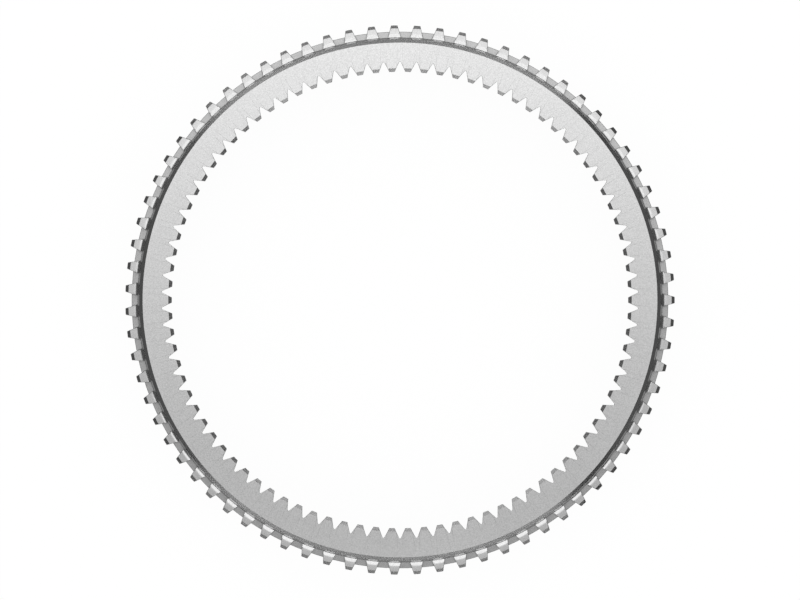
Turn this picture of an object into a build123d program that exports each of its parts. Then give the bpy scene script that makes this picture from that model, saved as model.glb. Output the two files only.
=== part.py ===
from build123d import *

import os
from math import acos, cos, pi, radians, sin, tan

# Ring gear of a planetary drive, turned and cut from one steel forging.
# Millimetres. The gear axis is Z, the rear face lies on Z = 0 and the front face looks up.
# A tooth of the internal gear and a tooth of the external spline both point along +X.

# Internal gear, seven teeth for each inch of pitch diameter
gear_teeth = 90
gear_module = 25.4 / 7
gear_pressure_angle = 25.0
gear_addendum = 3.45
gear_space_width = 4.43
gear_root_width = 0.9
gear_tip_chamfer = 2.5

# Wall between the roots of the gear and the shoulder outside it
wall_thickness = 15.8

# External spline with straight flanks, cut into a turned band
spline_teeth = 75
spline_root_step = 1.0
spline_tooth_height = 8.7
spline_tip_width = 4.5
spline_flank_angle = 15.5
spline_tip_chamfer = 2.15

# Plain rim behind the spline, which stops the part that slides over the teeth
rim_height = 4.2
rim_chamfer = 2.0

# Groove between the spline and the rim, where the tooth cutter runs out
groove_step = 0.8

# Widths along the axis, from the rear face to the front face
rim_width = 30.0
groove_width = 3.5
spline_length = 9.0
shoulder_height = 9.0
shoulder_fillet = 4.0
shoulder_chamfer = 2.4

# Number of flats that the shoulder's fillet is turned in
fillet_flats = 4

# How far a cutting outline reaches past the metal that it cuts
cutter_clearance = 1.0


def involute(angle):
    """Involute function of a pressure angle in radians."""
    return tan(angle) - angle


def inverse_involute(value):
    """Pressure angle in radians whose involute function is the given value."""
    angle = (3 * value) ** (1 / 3)
    for _ in range(12):
        angle -= (involute(angle) - value) / tan(angle) ** 2
    return angle


# Radii of the internal gear
pitch_radius = gear_teeth * gear_module / 2
base_radius = pitch_radius * cos(radians(gear_pressure_angle))
gear_tip_radius = pitch_radius - gear_addendum

# Each flank is an involute of the base circle. Angles are measured from the middle of the
# space, where the two flanks would meet at the involute value space_involute. The root is as
# deep as the width of the cutter's tip allows. Both widths are taken along the pitch circle.
space_involute = gear_space_width / (2 * pitch_radius) + involute(radians(gear_pressure_angle))
root_pressure_angle = inverse_involute(space_involute - gear_root_width / (2 * pitch_radius))
gear_root_radius = base_radius / cos(root_pressure_angle)

# Radii outside the wall
shoulder_radius = gear_root_radius + wall_thickness
spline_root_radius = shoulder_radius + spline_root_step
spline_tip_radius = spline_root_radius + spline_tooth_height
rim_radius = spline_root_radius + rim_height
groove_radius = spline_root_radius - groove_step

# Heights of the shoulders along the axis
groove_top = rim_width + groove_width
spline_front = groove_top + spline_length
front_face = spline_front + shoulder_height
cut_start = rim_width + groove_width / 2


def gear_flank_point(radius, side):
    """Point of the gear's flank at one radius, above (1) or below (-1) the X axis."""
    angle = side * (space_involute - involute(acos(base_radius / radius)))
    return (radius * cos(angle), radius * sin(angle))


# The shoulder's fillet is turned as flats that follow its arc from the wall out to the teeth
fillet_top = spline_front + shoulder_fillet
fillet_turns = [i * pi / 2 / fillet_flats for i in range(fillet_flats + 1)]
fillet_outline = [
    (shoulder_radius + shoulder_fillet * (1 - cos(turn)), fillet_top - shoulder_fillet * sin(turn))
    for turn in fillet_turns
]

# Turned section, one closed outline to the right of the axis
with BuildSketch(Plane.XZ) as turned_section:
    with BuildLine():
        Polyline(
            (gear_tip_radius, 0),
            (gear_tip_radius, front_face),
            (shoulder_radius, front_face),
            *fillet_outline,
            (spline_tip_radius, spline_front),
            (spline_tip_radius, groove_top),
            (groove_radius, groove_top),
            (groove_radius, rim_width),
            (rim_radius, rim_width),
            (rim_radius, 0),
            close=True,
        )
    make_face()
    corners = turned_section.vertices()
    bore_corners = corners.group_by(Axis.X)[0]
    spline_corner = corners.group_by(Axis.X)[-1].sort_by(Axis.Y)[-1]
    rear_corner = corners.group_by(Axis.Y)[0].sort_by(Axis.X)[-1]
    front_corner = corners.group_by(Axis.Y)[-1].sort_by(Axis.X)[-1]
    chamfer(bore_corners, gear_tip_chamfer)
    chamfer(spline_corner, spline_tip_chamfer)
    chamfer(rear_corner, rim_chamfer)
    chamfer(front_corner, shoulder_chamfer)

# One space of the internal gear, opened past the bore. Each flank is the arc through three
# points of its involute, which it follows to within a hundredth of a millimetre.
space_mouth = gear_tip_radius - cutter_clearance
flank_radii = (space_mouth, (space_mouth + gear_root_radius) / 2, gear_root_radius)
with BuildSketch() as gear_space:
    with BuildLine():
        upper_flank = ThreePointArc(*[gear_flank_point(radius, 1) for radius in flank_radii])
        lower_flank = ThreePointArc(*[gear_flank_point(radius, -1) for radius in flank_radii])
        Line(upper_flank @ 1, lower_flank @ 1)
        Line(upper_flank @ 0, lower_flank @ 0)
    make_face()

# One space of the external spline, drawn between the straight flanks of two teeth
half_pitch = pi / spline_teeth
flank_slope = tan(radians(spline_flank_angle))


def spline_flank_point(radius, side):
    """Point on the flank that bounds the space at +X, found from the tooth beside it."""
    half_width = spline_tip_width / 2 + (spline_tip_radius - radius) * flank_slope
    x = radius * cos(half_pitch) + half_width * sin(half_pitch)
    y = radius * sin(half_pitch) - half_width * cos(half_pitch)
    return (x, side * y)


space_outside = spline_tip_radius + cutter_clearance
with BuildSketch() as spline_space:
    with BuildLine():
        upper_side = Line(spline_flank_point(spline_root_radius, 1), spline_flank_point(space_outside, 1))
        lower_side = Line(spline_flank_point(spline_root_radius, -1), spline_flank_point(space_outside, -1))
        ThreePointArc(upper_side @ 0, (spline_root_radius, 0), lower_side @ 0)
        Line(upper_side @ 1, lower_side @ 1)
    make_face()

# The ring gear: the turned blank, then both sets of teeth cut out of it
with BuildPart() as ring_gear:
    add(turned_section.sketch)
    revolve(axis=Axis.Z)
    with BuildSketch() as gear_spaces:
        with PolarLocations(0, gear_teeth, start_angle=180 / gear_teeth):
            add(gear_space.sketch)
    extrude(amount=front_face, mode=Mode.SUBTRACT)
    with BuildSketch(Plane.XY.offset(cut_start)) as spline_spaces:
        with PolarLocations(0, spline_teeth, start_angle=180 / spline_teeth):
            add(spline_space.sketch)
    extrude(amount=fillet_top - cut_start, mode=Mode.SUBTRACT)

ring_gear.part.label = "ring_gear"

os.makedirs("parts", exist_ok=True)
export_step(ring_gear.part, "parts/ring_gear.step")
print("outside diameter", round(2 * spline_tip_radius, 2), "bore", round(2 * gear_tip_radius, 2))
print("root circle", round(gear_root_radius, 3), "shoulder", round(shoulder_radius, 3), "rim", round(rim_radius, 3))
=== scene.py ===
# %% [markdown]
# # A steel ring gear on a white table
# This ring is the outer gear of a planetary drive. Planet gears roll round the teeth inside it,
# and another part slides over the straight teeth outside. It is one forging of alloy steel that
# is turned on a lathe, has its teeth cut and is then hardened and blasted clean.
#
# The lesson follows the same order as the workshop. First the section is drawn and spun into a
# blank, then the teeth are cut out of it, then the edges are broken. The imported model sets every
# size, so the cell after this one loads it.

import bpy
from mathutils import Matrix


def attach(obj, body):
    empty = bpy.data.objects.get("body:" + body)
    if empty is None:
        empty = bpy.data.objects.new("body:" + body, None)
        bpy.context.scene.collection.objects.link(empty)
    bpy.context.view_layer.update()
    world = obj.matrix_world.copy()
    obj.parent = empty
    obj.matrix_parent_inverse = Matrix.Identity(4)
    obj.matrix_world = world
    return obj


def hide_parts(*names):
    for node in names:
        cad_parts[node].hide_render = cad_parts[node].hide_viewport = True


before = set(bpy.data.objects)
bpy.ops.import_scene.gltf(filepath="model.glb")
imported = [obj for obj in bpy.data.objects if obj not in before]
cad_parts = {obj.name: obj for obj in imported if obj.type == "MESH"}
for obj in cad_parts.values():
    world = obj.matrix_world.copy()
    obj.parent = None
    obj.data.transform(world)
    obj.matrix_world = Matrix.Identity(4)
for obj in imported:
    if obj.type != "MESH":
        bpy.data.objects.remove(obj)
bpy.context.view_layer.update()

# %% [markdown]
# ## Units and the sizes of the gear
# Blender works in metres, while a drawing of a gear is in millimetres, so every size below is
# in millimetres and is turned to metres where a mesh is made. The gear's axis is Z. The rear
# face lies on the table at Z = 0, and the front face looks up at the camera. The same sizes
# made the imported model, which is what keeps this finer one inside its box.

# %% Sizes in millimetres
from math import acos, cos, pi, radians, sin, tan

import bpy
from mathutils import Vector

MM = 0.001

gear_teeth = 90
gear_module = 25.4 / 7
pressure_angle = radians(25)
gear_addendum = 3.45
gear_space_width = 4.43
gear_root_width = 0.9
gear_tip_chamfer = 2.5

wall_thickness = 15.8

spline_teeth = 75
spline_root_step = 1.0
spline_tooth_height = 8.7
spline_tip_width = 4.5
spline_flank_slope = tan(radians(15.5))
spline_tip_chamfer = 2.15

rim_height = 4.2
groove_step = 0.8
rim_chamfer = 2.0
shoulder_chamfer = 2.4
shoulder_fillet = 4.0

rim_front = 30.0
groove_front = 33.5
spline_front = 42.5
front_face = 51.5
print("teeth inside and outside:", gear_teeth, spline_teeth, "width:", front_face)

# %% [markdown]
# ## Radii that follow from the teeth
# A gear is laid out from its pitch circle, on which the tooth and the space are measured. The
# flank of a tooth is an involute: the curve that the end of a tight string draws as it unwinds
# from the base circle. The involute function says how far that curve has turned when it is cut
# at a given pressure angle. The root of the gear is as deep as the cutter's tip is wide.

# %% Radii in millimetres


def involute(angle):
    """Involute function of a pressure angle in radians."""
    return tan(angle) - angle


def inverse_involute(value):
    """Pressure angle whose involute function is the given value, by Newton's method."""
    angle = (3 * value) ** (1 / 3)
    for _ in range(12):
        angle -= (involute(angle) - value) / tan(angle) ** 2
    return angle


pitch_radius = gear_teeth * gear_module / 2
base_radius = pitch_radius * cos(pressure_angle)
gear_tip_radius = pitch_radius - gear_addendum
space_involute = gear_space_width / (2 * pitch_radius) + involute(pressure_angle)
root_pressure_angle = inverse_involute(space_involute - gear_root_width / (2 * pitch_radius))
gear_root_radius = base_radius / cos(root_pressure_angle)

shoulder_radius = gear_root_radius + wall_thickness
spline_root_radius = shoulder_radius + spline_root_step
spline_tip_radius = spline_root_radius + spline_tooth_height
rim_radius = spline_root_radius + rim_height
groove_radius = spline_root_radius - groove_step
print("gear tip", round(gear_tip_radius, 2), "gear root", round(gear_root_radius, 2))
print("shoulder", round(shoulder_radius, 2), "spline tip", round(spline_tip_radius, 2))

# %% [markdown]
# ## Two helpers for drawing by hand
# By hand, an outline starts as a single point that is extruded from corner to corner and then
# filled. The first helper does exactly that: a plane is added, merged to one point, moved to the
# first corner and extruded on. The second helper picks vertices or faces by a test on their
# place or normal, which is what a click does in the window.

# %% Drawing helpers


def draw_outline(name, corners):
    """Draws a closed flat outline from corner to corner, in millimetres, and fills it."""
    bpy.ops.object.select_all(action="DESELECT")
    points = [Vector(corner) * MM for corner in corners]
    bpy.ops.mesh.primitive_plane_add(size=MM, location=(0, 0, 0))
    piece = bpy.context.object
    piece.name = name
    bpy.ops.object.mode_set(mode="EDIT")
    bpy.ops.mesh.select_all(action="SELECT")
    bpy.ops.mesh.merge(type="CENTER")
    bpy.ops.transform.translate(value=points[0])
    for here, there in zip(points, points[1:]):
        bpy.ops.mesh.extrude_vertices_move(TRANSFORM_OT_translate={"value": there - here})
    bpy.ops.mesh.select_all(action="SELECT")
    bpy.ops.mesh.edge_face_add()
    bpy.ops.object.mode_set(mode="OBJECT")
    return piece


def pick(piece, kind, test):
    """Leaves the piece in edit mode with only those VERT or FACE elements selected that pass."""
    bpy.ops.object.mode_set(mode="EDIT")
    bpy.ops.mesh.select_mode(type=kind)
    bpy.ops.mesh.select_all(action="DESELECT")
    bpy.ops.object.mode_set(mode="OBJECT")
    elements = piece.data.vertices if kind == "VERT" else piece.data.polygons
    for element in elements:
        element.select = test(element)
    bpy.ops.object.mode_set(mode="EDIT")


# %% [markdown]
# ## The turned section
# On the lathe the blank gets its whole outline in one clamping: bore, front face, shoulder,
# the band that becomes the spline, the groove and the rim behind it. So one closed outline
# stands for all of it. Drawing half a section and spinning it is how any turned part is best
# made, because every circle stays exactly round the same axis.

# %% Draw the section
section_corners = [
    (gear_tip_radius, 0, 0),
    (gear_tip_radius, 0, front_face),
    (shoulder_radius, 0, front_face),
    (shoulder_radius, 0, spline_front),
    (spline_tip_radius, 0, spline_front),
    (spline_tip_radius, 0, groove_front),
    (groove_radius, 0, groove_front),
    (groove_radius, 0, rim_front),
    (rim_radius, 0, rim_front),
    (rim_radius, 0, 0),
]
ring = draw_outline("ring_gear_steel", section_corners)
print("section corners:", len(ring.data.vertices))

# %% [markdown]
# ## Chamfers and the fillet
# The lathe tool leaves a chamfer wherever a sharp corner would chip, and a round fillet in the
# inner corner where the shoulder stands on the teeth, because a sharp inner corner would crack
# there. Both are bevels of single corners: one segment gives a chamfer, many give a round.

# %% Bevel the corners of the section


def bevel_corners(piece, corners, size, segments=1):
    """Bevels the corners of an outline at these places, all by the same size in millimetres."""
    places = [Vector(corner) * MM for corner in corners]
    near = 0.05 * MM
    pick(piece, "VERT", lambda v: any((v.co - place).length < near for place in places))
    bpy.ops.mesh.bevel(offset=size * MM, segments=segments, profile=0.5, affect="VERTICES")
    bpy.ops.object.mode_set(mode="OBJECT")


fillet_segments = 10
bevel_corners(ring, section_corners[0:2], gear_tip_chamfer)
bevel_corners(ring, [section_corners[2]], shoulder_chamfer)
bevel_corners(ring, [section_corners[4]], spline_tip_chamfer)
bevel_corners(ring, [section_corners[9]], rim_chamfer)
bevel_corners(ring, [section_corners[3]], shoulder_fillet, fillet_segments)
print("section corners now:", len(ring.data.vertices))

# %% [markdown]
# ## Spin one fifteenth of the ring
# The gear has 90 teeth inside and 75 outside. Both numbers divide by fifteen, so a wedge of 24
# degrees with six teeth inside and five outside repeats all the way round. It starts and ends
# in the middle of a tooth, so no cut touches its ends. The wedge is spun in steps of 0.4
# degrees, which fit a whole number of times into either tooth, and at which a circle looks round.

# %% Spin the wedge
wedges = 15
wedge_angle = 2 * pi / wedges
steps_in_wedge = 60
# The spin tool turns clockwise round its axis, so an axis that points down turns the other way
spin_axis = (0, 0, -1)

bpy.ops.object.mode_set(mode="EDIT")
bpy.ops.mesh.select_all(action="SELECT")
bpy.ops.mesh.spin(steps=steps_in_wedge, angle=wedge_angle, center=(0, 0, 0), axis=spin_axis)
bpy.ops.mesh.select_all(action="SELECT")
bpy.ops.mesh.remove_doubles(threshold=0.001 * MM)
bpy.ops.mesh.normals_make_consistent(inside=False)
bpy.ops.object.mode_set(mode="OBJECT")
wedge_end = max(ring.data.vertices, key=lambda v: v.co.y).co
print("wedge faces:", len(ring.data.polygons), "ends at y", round(wedge_end.y, 4))

# %% [markdown]
# ## A cutter for one space of the gear
# A gear shaper takes the metal out from between the teeth and leaves the teeth standing, so the
# thing to model is the space and not the tooth. Its two sides are points on the involute. The
# cutter's tip has rounded corners, which leave a rounded root. The same outline is copied round
# the wedge once for each space.

# %% Cutter for the gear
cutter_overshoot = 1.0
flank_points = 8
root_round = 0.2
root_segments = 4


def gear_flank(radius, side):
    """Point of a gear flank at one radius, above (1) or below (-1) the middle of the space."""
    angle = side * (space_involute - involute(acos(base_radius / radius)))
    return (radius * cos(angle), radius * sin(angle), -cutter_overshoot)


mouth_radius = gear_tip_radius - cutter_overshoot
flank_radii = [
    mouth_radius + (gear_root_radius - mouth_radius) * i / (flank_points - 1)
    for i in range(flank_points)
]
gear_outline = [gear_flank(r, 1) for r in flank_radii]
gear_outline += [gear_flank(r, -1) for r in reversed(flank_radii)]
gear_cutter = draw_outline("gear_cutter", gear_outline)
root_corners = gear_outline[flank_points - 1:flank_points + 1]
bevel_corners(gear_cutter, root_corners, root_round, root_segments)


def raise_and_copy(cutter, bottom, top, teeth, copies):
    """Raises a flat outline into a bar and sets it at each space between the wedge's teeth."""
    bpy.ops.object.mode_set(mode="EDIT")
    bpy.ops.mesh.select_all(action="SELECT")
    bpy.ops.mesh.extrude_region_move(TRANSFORM_OT_translate={"value": (0, 0, (top - bottom) * MM)})
    bpy.ops.mesh.select_all(action="SELECT")
    bpy.ops.mesh.normals_make_consistent(inside=False)
    bpy.ops.mesh.spin(steps=1, dupli=True, angle=pi / teeth, center=(0, 0, 0), axis=spin_axis)
    bpy.ops.mesh.select_all(action="INVERT")
    bpy.ops.mesh.delete(type="VERT")
    bpy.ops.mesh.select_all(action="SELECT")
    bpy.ops.mesh.spin(
        steps=copies - 1,
        dupli=True,
        angle=2 * pi / teeth * (copies - 1),
        center=(0, 0, 0),
        axis=spin_axis,
    )
    bpy.ops.object.mode_set(mode="OBJECT")


cut_end = front_face + cutter_overshoot
raise_and_copy(gear_cutter, -cutter_overshoot, cut_end, gear_teeth, gear_teeth // wedges)
print("gear cutter faces:", len(gear_cutter.data.polygons))

# %% [markdown]
# ## A cutter for one space of the spline
# The spline's teeth have straight sides, and a shaper cuts them too. It comes in over the
# shoulder and runs out in the groove behind the teeth, so the cutter starts in the middle of
# the groove. It also cuts through the foot of the fillet, which is why the fillet stays whole
# only on the teeth.

# %% Cutter for the spline
half_pitch = pi / spline_teeth
cut_start = (rim_front + groove_front) / 2
root_points = 7
spline_root_round = 0.35
spline_root_segments = 3


def spline_flank(radius, side):
    """Point on the flank beside a space at +X, found from the tooth next to it."""
    half_width = spline_tip_width / 2 + (spline_tip_radius - radius) * spline_flank_slope
    x = radius * cos(half_pitch) + half_width * sin(half_pitch)
    y = radius * sin(half_pitch) - half_width * cos(half_pitch)
    return (x, side * y, cut_start)


space_edge = spline_flank(spline_root_radius, 1)
root_turn = acos(space_edge[0] / Vector(space_edge[:2]).length)
root_turns = [root_turn * (1 - 2 * i / (root_points - 1)) for i in range(root_points)]
spline_outline = [spline_flank(spline_tip_radius + cutter_overshoot, 1)]
spline_outline += [
    (spline_root_radius * cos(turn), spline_root_radius * sin(turn), cut_start)
    for turn in root_turns
]
spline_outline += [spline_flank(spline_tip_radius + cutter_overshoot, -1)]
spline_cutter = draw_outline("spline_cutter", spline_outline)
root_corners = [spline_outline[1], spline_outline[-2]]
bevel_corners(spline_cutter, root_corners, spline_root_round, spline_root_segments)
raise_and_copy(spline_cutter, cut_start, cut_end, spline_teeth, spline_teeth // wedges)
print("spline cutter faces:", len(spline_cutter.data.polygons))

# %% [markdown]
# ## Cut the teeth
# A Boolean modifier takes the cutters away from the wedge, as the shaper takes its chips. The
# cutters have done their work then and are deleted. The two end faces of the wedge are deleted
# too, so that its copies can join.

# %% Boolean and cleaning


def make_active(piece):
    """Selects one object alone and makes it the active one."""
    bpy.ops.object.select_all(action="DESELECT")
    piece.select_set(True)
    bpy.context.view_layer.objects.active = piece


for cutter in (gear_cutter, spline_cutter):
    make_active(ring)
    cut = ring.modifiers.new("cut_" + cutter.name, "BOOLEAN")
    cut.operation = "DIFFERENCE"
    cut.solver = "EXACT"
    cut.object = cutter
    bpy.ops.object.modifier_apply(modifier=cut.name)
    bpy.data.objects.remove(cutter)
print("faces after the cuts:", len(ring.data.polygons))

end_normals = (Vector((0, -1, 0)), Vector((-sin(wedge_angle), cos(wedge_angle), 0)))
hair = 0.01 * MM


def is_end_face(face):
    """True for a face on either end of the wedge, which stands in a plane through the axis."""
    return any(face.normal.dot(n) > 0.9999 and abs(face.center.dot(n)) < hair for n in end_normals)


pick(ring, "FACE", is_end_face)
bpy.ops.mesh.delete(type="ONLY_FACE")
bpy.ops.mesh.select_all(action="SELECT")
bpy.ops.mesh.remove_doubles(threshold=0.002 * MM)
bpy.ops.object.mode_set(mode="OBJECT")
print("faces of the cleaned wedge:", len(ring.data.polygons))

# %% [markdown]
# ## Copy the wedge round the axis
# Fourteen more copies close the ring. Their ends meet edge to edge, so merging the doubles
# makes one closed skin of them. No open edge may be left over, because the real part is solid.

# %% Close the ring
make_active(ring)
bpy.ops.object.mode_set(mode="EDIT")
bpy.ops.mesh.select_mode(type="VERT")
bpy.ops.mesh.select_all(action="SELECT")
bpy.ops.mesh.spin(
    steps=wedges - 1,
    dupli=True,
    angle=wedge_angle * (wedges - 1),
    center=(0, 0, 0),
    axis=spin_axis,
)
bpy.ops.mesh.select_all(action="SELECT")
bpy.ops.mesh.remove_doubles(threshold=0.005 * MM)
bpy.ops.mesh.normals_make_consistent(inside=False)
bpy.ops.mesh.select_all(action="DESELECT")
bpy.ops.mesh.select_non_manifold()
bpy.ops.object.mode_set(mode="OBJECT")
open_points = sum(v.select for v in ring.data.vertices)
print("ring faces:", len(ring.data.polygons), "points on open edges:", open_points)

# %% [markdown]
# ## Break the edges
# A cutter leaves a burr on every edge that it comes out of. The burr is brushed off, which leaves
# a narrow flat along each square edge. It is only about a third of a millimetre wide, but it
# catches the light as a fine line round every tooth. The corners that the lathe has chamfered
# are blunt already and stay as they are. A Bevel modifier does all square edges at once, found
# by the angle between their faces, and the flats stay flat in the light because only shallower
# angles are shaded smooth.

# %% Bevel the square edges
broken_edge = 0.25
square_edge = radians(55)
sharp_angle = radians(28)

make_active(ring)
broken = ring.modifiers.new("broken_edges", "BEVEL")
broken.width = broken_edge * MM
broken.segments = 1
broken.limit_method = "ANGLE"
broken.angle_limit = square_edge
broken.use_clamp_overlap = False
bpy.ops.object.modifier_apply(modifier=broken.name)
bpy.ops.object.shade_smooth_by_angle(angle=sharp_angle)

# The corners of some flats end a few thousandths of a millimetre off the end faces
for level in (0.0, front_face * MM):
    pick(ring, "VERT", lambda v: abs(v.co.z - level) < hair)
    bpy.ops.transform.resize(value=(1, 1, 0), center_override=(0, 0, level))
    bpy.ops.object.mode_set(mode="OBJECT")
ring.data.calc_loop_triangles()
print("triangles:", len(ring.data.loop_triangles))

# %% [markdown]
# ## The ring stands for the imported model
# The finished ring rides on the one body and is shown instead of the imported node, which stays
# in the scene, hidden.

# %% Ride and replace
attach(ring, "root")
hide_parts("ring_gear")

# %% [markdown]
# ## Blasted alloy steel
# The gear is hardened alloy steel, blasted clean with fine grit. Bare metal has no colour of its
# own beside the tint of its reflections, here a neutral light grey. The grit leaves fine pits
# that scatter each reflection a little, so the steel looks satin: it shows a soft image of the
# lamps. Two zones are painted darker to stand for shade. The toothed band lies below the front
# face beside the shoulder wall and is painted a shade darker for the shade of that wall, and the
# rim face deep in the gaps between the spline teeth is painted darker still for the shade there.

# %% Steel material


def linear(code):
    """Turns an sRGB hex colour such as #c8c9ca into the linear colour that a shader takes."""
    parts = [int(code[i:i + 2], 16) / 255 for i in (1, 3, 5)]
    return [p / 12.92 if p <= 0.04045 else ((p + 0.055) / 1.055) ** 2.4 for p in parts] + [1]


def node(tree, kind, settings=None, inputs=None):
    """Adds one node, sets its options and fills its sockets with values or links."""
    made = tree.nodes.new(kind)
    for name, value in (settings or {}).items():
        setattr(made, name, value)
    for socket, value in (inputs or {}).items():
        if isinstance(value, bpy.types.NodeSocket):
            tree.links.new(value, made.inputs[socket])
        else:
            made.inputs[socket].default_value = value
    return made


steel = bpy.data.materials.new("blasted_alloy_steel")
steel.use_nodes = True
tree = steel.node_tree
tree.nodes.clear()

# Real grit leaves pits of about a third of a millimetre. One pixel is twice as wide, so the grain
# is drawn coarser than it is, or it would not show.
grit_pit = 0.8
stain_width = 60

place = node(tree, "ShaderNodeTexCoord").outputs["Object"]
grit = node(
    tree,
    "ShaderNodeTexNoise",
    {},
    {"Vector": place, "Scale": 1 / (grit_pit * MM), "Detail": 2.0, "Roughness": 0.6},
).outputs["Fac"]
stain = node(
    tree,
    "ShaderNodeTexNoise",
    {},
    {"Vector": place, "Scale": 1 / (stain_width * MM), "Detail": 3.0},
).outputs["Fac"]

height = node(tree, "ShaderNodeSeparateXYZ", {}, {"Vector": place}).outputs["Z"]
flat_place = node(
    tree, "ShaderNodeVectorMath", {"operation": "MULTIPLY"}, {0: place, 1: (1, 1, 0)}
).outputs["Vector"]
reach = node(
    tree, "ShaderNodeVectorMath", {"operation": "LENGTH"}, {0: flat_place}
).outputs["Value"]
# Painted shade: the toothed band beside the shoulder wall is tinted a little darker
toothed_band = [("GREATER_THAN", reach, shoulder_radius + shoulder_fillet)]
# Painted shade: the rim face deep in the gaps between the spline teeth is tinted darker still
rear_rim = [
    ("GREATER_THAN", reach, shoulder_radius - groove_step / 2),
    ("LESS_THAN", height, cut_start),
    ("GREATER_THAN", height, rim_chamfer),
]

# Each tint goes from dark to light with the grit. The second is painted shade on the toothed
# band, and the third is darker painted shade on the rim between the spline teeth
blasted_tint, painted_shade_band_tint, painted_shade_rim_tint = [
    node(
        tree,
        "ShaderNodeMix",
        {"data_type": "RGBA"},
        {"Factor": grit, "A": linear(dark), "B": linear(light)},
    ).outputs["Result"]
    for dark, light in (("#b3b3b3", "#e8e8e8"), ("#acacac", "#dfdfdf"), ("#a2a2a2", "#c4c4c4"))
]

# A zone's tint, painted shade, covers the blasted steel where all of the zone's tests hold
steel_tint = blasted_tint
for zone_tint, tests in ((painted_shade_band_tint, toothed_band), (painted_shade_rim_tint, rear_rim)):
    zone = 1.0
    for operation, value, limit in tests:
        inside = node(
            tree, "ShaderNodeMath", {"operation": operation}, {0: value, 1: limit * MM}
        ).outputs[0]
        zone = node(
            tree, "ShaderNodeMath", {"operation": "MULTIPLY"}, {0: zone, 1: inside}
        ).outputs[0]
    steel_tint = node(
        tree,
        "ShaderNodeMix",
        {"data_type": "RGBA"},
        {"Factor": zone, "A": steel_tint, "B": zone_tint},
    ).outputs["Result"]

gloss = node(
    tree,
    "ShaderNodeMapRange",
    {},
    {"Value": stain, "From Min": 0.3, "From Max": 0.7, "To Min": 0.21, "To Max": 0.24},
).outputs["Result"]
pits = node(
    tree,
    "ShaderNodeBump",
    {},
    {"Height": grit, "Strength": 0.15, "Distance": 0.02 * MM},
).outputs["Normal"]
shader = node(
    tree,
    "ShaderNodeBsdfPrincipled",
    {},
    {"Base Color": steel_tint, "Metallic": 1.0, "Roughness": gloss, "Normal": pits},
)
node(tree, "ShaderNodeOutputMaterial", {}, {"Surface": shader.outputs["BSDF"]})
ring.data.materials.clear()
ring.data.materials.append(steel)
print("steel nodes:", len(tree.nodes))

# %% [markdown]
# ## The camera
# The photograph looks straight down the axis with no perspective: the teeth on all sides show
# the same front and no flank. So the camera is orthographic and stands above the origin. Its
# frame is as wide as the photograph, at 0.7005 mm for each of the 800 pixels.

# %% Camera
photo_width = 800
pixel_size = 0.7005
camera_height = 1.5

bpy.ops.object.select_all(action="DESELECT")
bpy.ops.object.camera_add(location=(0, 0, camera_height), rotation=(0, 0, 0))
camera = bpy.context.object
camera.name = "camera"
camera.data.type = "ORTHO"
camera.data.ortho_scale = photo_width * pixel_size * MM
bpy.context.scene.camera = camera
print("frame width:", round(camera.data.ortho_scale, 4))

# %% [markdown]
# ## The table
# The background is pure white. The floor is white paper that is shown at full white to the
# camera and in reflections, whatever light falls on it. A small share of it stays a plain matt
# surface, which keeps a trace of the ring's soft shadow.

# %% Floor
floor_radius = 4.0
paper_white = 0.96

bpy.ops.object.select_all(action="DESELECT")
bpy.ops.mesh.primitive_circle_add(vertices=128, radius=floor_radius, fill_type="NGON")
floor = bpy.context.object
floor.name = "floor"

paper = bpy.data.materials.new("white_paper")
paper.use_nodes = True
tree = paper.node_tree
tree.nodes.clear()
light_path = node(tree, "ShaderNodeLightPath")
seen_ray = node(
    tree,
    "ShaderNodeMath",
    {"operation": "MAXIMUM"},
    {0: light_path.outputs["Is Camera Ray"], 1: light_path.outputs["Is Glossy Ray"]},
).outputs[0]
seen_ray = node(
    tree,
    "ShaderNodeMath",
    {"operation": "MAXIMUM"},
    {0: seen_ray, 1: light_path.outputs["Is Transmission Ray"]},
).outputs[0]
shown_white = node(
    tree, "ShaderNodeMath", {"operation": "MULTIPLY"}, {0: seen_ray, 1: paper_white}
).outputs[0]
white = node(tree, "ShaderNodeEmission", {}, {"Color": (1, 1, 1, 1), "Strength": 1.0}).outputs[0]
matt = node(tree, "ShaderNodeBsdfDiffuse", {}, {"Color": linear("#f4f4f4")}).outputs[0]
both = node(tree, "ShaderNodeMixShader", {}, {0: shown_white, 1: matt, 2: white}).outputs[0]
node(tree, "ShaderNodeOutputMaterial", {}, {"Surface": both})
floor.data.materials.append(paper)
print("floor radius:", floor_radius)

# %% [markdown]
# ## The light tent
# Steel shows what stands around it, so the light is built for its reflections. A white sheet is
# bent over the table like a tunnel along X and glows, which makes the fillet bright at the top
# and the bottom of the picture. It has a dimmer strip above the object, a little towards the
# lower side, so the front face goes from grey at the bottom to nearly white at the top.

# %% Tent
tent_radius = 1.0
tent_half_length = 1.12
tent_foot = radians(6.5)
tent_steps = 64


def quiet(piece, **seen):
    """Sets by which kinds of ray an object is seen: camera, diffuse, glossy, shadow and so on."""
    for kind, shown in seen.items():
        setattr(piece, "visible_" + kind, shown)


bpy.ops.object.select_all(action="DESELECT")
foot_y = tent_radius * cos(tent_foot)
foot_height = tent_radius * sin(tent_foot)
sheet_ends = [(side * tent_half_length, foot_y, foot_height) for side in (-1, 1)]
tent = draw_outline("light_tent", [[value / MM for value in end] for end in sheet_ends])
bpy.ops.object.mode_set(mode="EDIT")
bpy.ops.mesh.select_all(action="SELECT")
bpy.ops.mesh.spin(steps=tent_steps, angle=pi - 2 * tent_foot, center=(0, 0, 0), axis=(-1, 0, 0))
bpy.ops.object.mode_set(mode="OBJECT")
quiet(tent, camera=False, shadow=False)
tent_top = max(v.co.z for v in tent.data.vertices)
print("tent height:", round(tent_top, 3), "faces:", len(tent.data.polygons))

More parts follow.
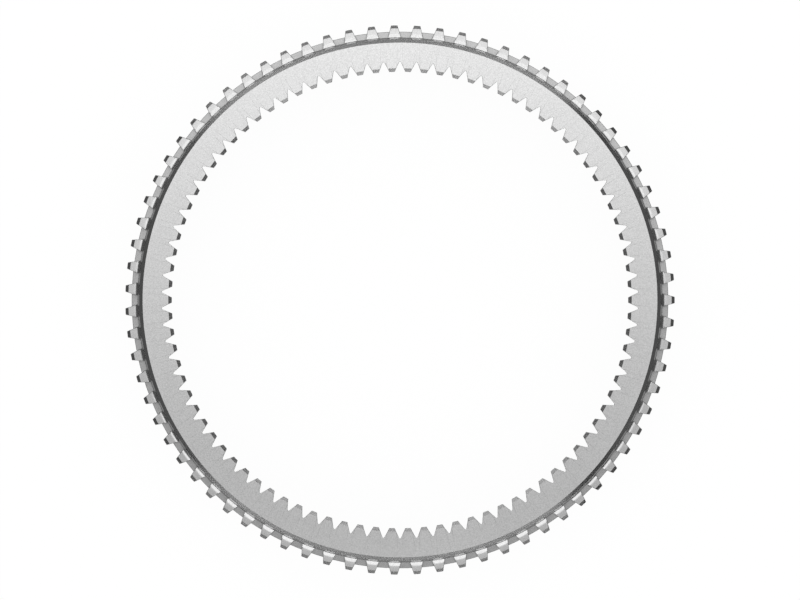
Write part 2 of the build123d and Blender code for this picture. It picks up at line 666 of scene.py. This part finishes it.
glow = bpy.data.materials.new("lit_sheet")
glow.use_nodes = True
tree = glow.node_tree
tree.nodes.clear()
across = node(
    tree,
    "ShaderNodeSeparateXYZ",
    {},
    {"Vector": node(tree, "ShaderNodeTexCoord").outputs["Object"]},
).outputs["Y"]
ramp = node(
    tree,
    "ShaderNodeMapRange",
    {},
    {"Value": across, "From Min": -1.0, "From Max": 1.0, "To Min": 0.0, "To Max": 1.0},
).outputs["Result"]
strip = node(tree, "ShaderNodeValToRGB", {}, {"Fac": ramp})
# Glow of the sheet at places across it, in metres from the axis to the top of the picture
glow_across = [
    (-0.99, 1.65), (-0.92, 1.35), (-0.60, 1.40), (-0.50, 1.40), (-0.40, 1.23), (-0.31, 0.98),
    (-0.24, 0.74), (-0.17, 0.56), (0.0, 0.83), (0.10, 1.15), (0.20, 1.40), (0.30, 1.37),
    (0.92, 1.35), (0.99, 1.65),
]
brightest = 2.0
stops = strip.color_ramp.elements
stops.remove(stops[1])
for place_y, strength in glow_across:
    stop = stops.new((place_y + 1) / 2)
    stop.color = [strength / brightest] * 3 + [1]
stops.remove(stops[0])
lamp = node(
    tree, "ShaderNodeEmission", {}, {"Color": strip.outputs["Color"], "Strength": brightest}
).outputs[0]
node(tree, "ShaderNodeOutputMaterial", {}, {"Surface": lamp})
tent.data.materials.append(glow)

# %% [markdown]
# ## Dark flags and grey cards
# A photographer sets black flags where steel should show a dark line. One closes each end of
# the tent, which gives the chamfers on the left and right their dark lines, and one lies on the
# studio floor round the table. A low skirt of black velvet stands under each foot of the sheet,
# and a velvet wing narrows each of its corners, the right ones more, where the dark lines reach
# further round. A grey card lies round the ring and a paler one inside it, for the surfaces that
# face a little downwards. The camera never sees any of them: they are there for the reflections.

# %% Helpers for flags and cards


def card_material(name, strength):
    """A plain card that shows the steel one even grey."""
    made = bpy.data.materials.new(name)
    made.use_nodes = True
    made.node_tree.nodes.clear()
    grey = node(
        made.node_tree, "ShaderNodeEmission", {}, {"Color": (1, 1, 1, 1), "Strength": strength}
    ).outputs[0]
    node(made.node_tree, "ShaderNodeOutputMaterial", {}, {"Surface": grey})
    return made


def use_in_reflections(card, name, material):
    """Names a card, gives it its material and shows it to reflections alone."""
    card.name = name
    card.data.materials.append(material)
    quiet(card, camera=False, diffuse=False, shadow=False, transmission=False)


def hang_flag(name, low, high, material):
    """Hangs an upright flag between two opposite corners, in metres."""
    corners = [low, (high[0], high[1], low[2]), high, (low[0], low[1], high[2])]
    flag = draw_outline(name, [[value / MM for value in corner] for corner in corners])
    use_in_reflections(flag, name, material)


def lay_card(name, inner, outer, lift, material):
    """Lays a flat ring between two radii just above the floor, or a disc where inner is 0."""
    bpy.ops.object.select_all(action="DESELECT")
    bpy.ops.mesh.primitive_circle_add(
        vertices=96,
        radius=inner or outer,
        fill_type="NOTHING" if inner else "NGON",
        location=(0, 0, lift),
    )
    card = bpy.context.object
    if inner:
        bpy.ops.object.mode_set(mode="EDIT")
        bpy.ops.mesh.select_all(action="SELECT")
        bpy.ops.mesh.extrude_region()
        bpy.ops.transform.resize(value=(outer / inner, outer / inner, 1))
        bpy.ops.object.mode_set(mode="OBJECT")
    bpy.ops.object.transform_apply(location=True, rotation=True, scale=True)
    use_in_reflections(card, name, material)


# %% Hang the flags
flag_black = card_material("black_flag", 0.095)
flag_velvet = card_material("velvet_flag", 0.02)
flag_height = 3.2
flag_x = tent_half_length + 0.001
skirt_y = 0.985
wing_x = 0.67
wing_y = 0.80

for name, x in (("flag_right", flag_x), ("flag_left", -flag_x)):
    hang_flag(name, (x, -flag_height / 2, 0), (x, flag_height / 2, flag_height), flag_black)
for name, y in (("flag_skirt_top", skirt_y), ("flag_skirt_bottom", -skirt_y)):
    hang_flag(name, (-tent_half_length, y, 0), (tent_half_length, y, foot_height), flag_velvet)
for name, end, side, height in (
    ("flag_wing_top_right", 1, 1, 0.29),
    ("flag_wing_bottom_right", 1, -1, 0.36),
    ("flag_wing_top_left", -1, 1, 0.12),
    ("flag_wing_bottom_left", -1, -1, 0.12),
):
    near_corner = (end * wing_x, side * wing_y, 0)
    far_corner = (end * tent_half_length, side * wing_y, height)
    hang_flag(name, near_corner, far_corner, flag_velvet)

# %% Lay the cards
table_radius = 0.30
bore_radius = 0.165
floor_flag_radius = 3.6
card_lift = 0.0005

lay_card("flag_floor", table_radius, floor_flag_radius, 2 * card_lift, flag_black)
lay_card("card_bore", 0, bore_radius, card_lift, card_material("pale_card", 0.37))
lay_card("card_table", bore_radius, table_radius, card_lift, card_material("grey_card", 0.33))

# %% [markdown]
# ## The room
# Behind the tent the room is plain and pale. It shows only where another view looks past the
# edge of the floor. Colours are shown plainly, with no film look.

# %% World and colour
world = bpy.data.worlds.new("studio")
bpy.context.scene.world = world
world.use_nodes = True
world.node_tree.nodes["Background"].inputs["Color"].default_value = (0.9, 0.9, 0.9, 1)
world.node_tree.nodes["Background"].inputs["Strength"].default_value = 1.0
bpy.context.scene.view_settings.view_transform = "Standard"
print("view transform:", bpy.context.scene.view_settings.view_transform)
